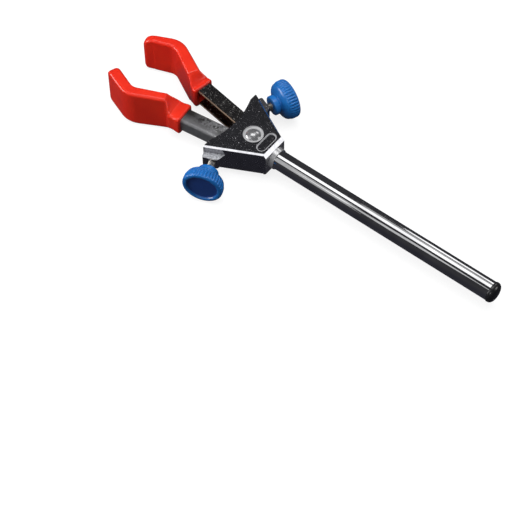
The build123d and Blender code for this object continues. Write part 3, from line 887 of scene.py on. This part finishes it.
def make_camera():
    a = math.radians(CAM_AZIMUTH)
    e = math.radians(CAM_ELEVATION)
    ahead = Vector((-math.sin(a) * math.cos(e), math.cos(a) * math.cos(e), -math.sin(e)))
    level = ahead.cross(UP).normalized()
    upright = level.cross(ahead)
    roll = math.radians(CAM_ROLL)
    right = level * math.cos(roll) + upright * math.sin(roll)
    up = upright * math.cos(roll) - level * math.sin(roll)
    offset_x = (RIVET_PX[0] - IMAGE / 2) / CAM_FOCAL_PX
    offset_y = (RIVET_PX[1] - IMAGE / 2) / CAM_FOCAL_PX
    ray = (ahead + right * offset_x - up * offset_y).normalized()
    data = bpy.data.cameras.new("camera")
    data.sensor_width = CAM_SENSOR
    data.lens = CAM_FOCAL_PX / IMAGE * CAM_SENSOR
    data.clip_start = 0.01
    data.clip_end = 20
    obj = bpy.data.objects.new("camera", data)
    bpy.context.scene.collection.objects.link(obj)
    obj.matrix_world = Matrix.Translation(PIVOT - ray * CAM_DISTANCE) @ basis_of(right, up, -ahead)
    bpy.context.scene.camera = obj


def make_floor():
    bm = bmesh.new()
    bmesh.ops.create_grid(bm, x_segments=1, y_segments=1, size=FLOOR_HALF)
    floor = new_object("floor", bm)
    floor.location.z = cad_low.z - FLOOR_DROP
    mat, tree, shader = material("floor_white", (0.25, 0.25, 0.25), roughness=0.9)
    shader.inputs["Emission Color"].default_value = (1, 1, 1, 1)
    shader.inputs["Emission Strength"].default_value = 0.82
    shader.inputs["Specular IOR Level"].default_value = 0.0
    shade = ramp(tree, noise(tree, 3.0), [(0.3, (0.24, 0.24, 0.24)), (0.7, (0.26, 0.26, 0.26))])
    tree.links.new(shade, shader.inputs["Base Color"])
    paint(floor, mat)
    floor.visible_glossy = False
    floor.visible_diffuse = False


def make_world():
    """Dim surroundings, which the plated pieces mirror between the lights."""
    world = bpy.data.worlds.new("studio")
    bpy.context.scene.world = world
    world.use_nodes = True
    tree = world.node_tree
    background = tree.nodes["Background"]
    coord = tree.nodes.new("ShaderNodeTexCoord")
    split = tree.nodes.new("ShaderNodeSeparateXYZ")
    tree.links.new(coord.outputs["Generated"], split.inputs["Vector"])
    stops = [(0.3, (0.035, 0.035, 0.045)), (0.6, (0.05, 0.05, 0.055)), (0.95, (0.045, 0.045, 0.05))]
    shade = ramp(tree, mapped(tree, split.outputs["Z"], -1, 1), stops)
    tree.links.new(shade, background.inputs["Color"])
    background.inputs["Strength"].default_value = 1.0


def main():
    nodes = frame["nodes"]
    rod_metal, *_ = plated(
        "rod_chrome", (0.68, 0.68, 0.69), rough=0.05, speck_rough=0.12, specks=(0.5, 0.8), scale=300)
    rivet_metal, *_ = plated(
        "rivet_chrome", (0.60, 0.60, 0.61), rough=0.18, speck_rough=0.24, specks=(0.5, 0.7), scale=300,
        metallic=0.8)
    stud_metal, *_ = plated(
        "stud_zinc", (0.74, 0.70, 0.62), rough=0.3, speck_rough=0.42, specks=(0.4, 0.6), scale=900)
    spring_metal, *_ = plated(
        "spring_wire", (0.45, 0.45, 0.46), rough=0.2, speck_rough=0.3, specks=(0.4, 0.6), scale=900)
    red = vinyl("grip_vinyl")
    black, *_ = moulded("plug_black", (0.008, 0.008, 0.009), (0.016, 0.016, 0.018))

    paint(nodes["housing"], housing_finish())
    soften_edges(nodes["housing"], HOUSING_EDGE)
    paint(nodes["rod"], rod_metal)
    plug = make_plug()
    paint(plug, black)
    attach(plug, "frame")
    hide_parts("rod_end_plug")
    paint(nodes["pivot_rivet"], rivet_metal)
    paint(nodes["torsion_spring"], spring_metal)
    coil, near_leg, far_leg = make_spring()
    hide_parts("torsion_spring")
    for piece, body in ((coil, "frame"), (near_leg, "near_jaw"), (far_leg, "far_jaw")):
        paint(piece, spring_metal)
        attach(piece, body)
    paint(nodes["near_arm"], near_arm_finish(SIDES["near"]))
    paint(nodes["far_arm"], far_arm_finish())
    for side, arm in SIDES.items():
        soften_edges(nodes[f"{side}_arm"], ARM_EDGE)
        grip = make_grip(f"{side}_grip_vinyl", arm)
        paint(grip, red)
        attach(grip, f"{side}_jaw")
        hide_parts(f"{side}_grip")
        knob, foot, axis = make_knob(f"{side}_knob_ribbed", side)
        paint(knob, knob_finish(side, foot, axis))
        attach(knob, f"{side}_thumb_knob")
        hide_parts(f"{side}_knob")
        stud = make_stud(f"{side}_stud_threaded", side)
        paint(stud, stud_metal)
        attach(stud, f"{side}_screw")
        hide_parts(f"{side}_stud")

    make_camera()
    make_floor()
    make_world()
    make_lights()
    bpy.context.scene.view_settings.view_transform = "Standard"


main()
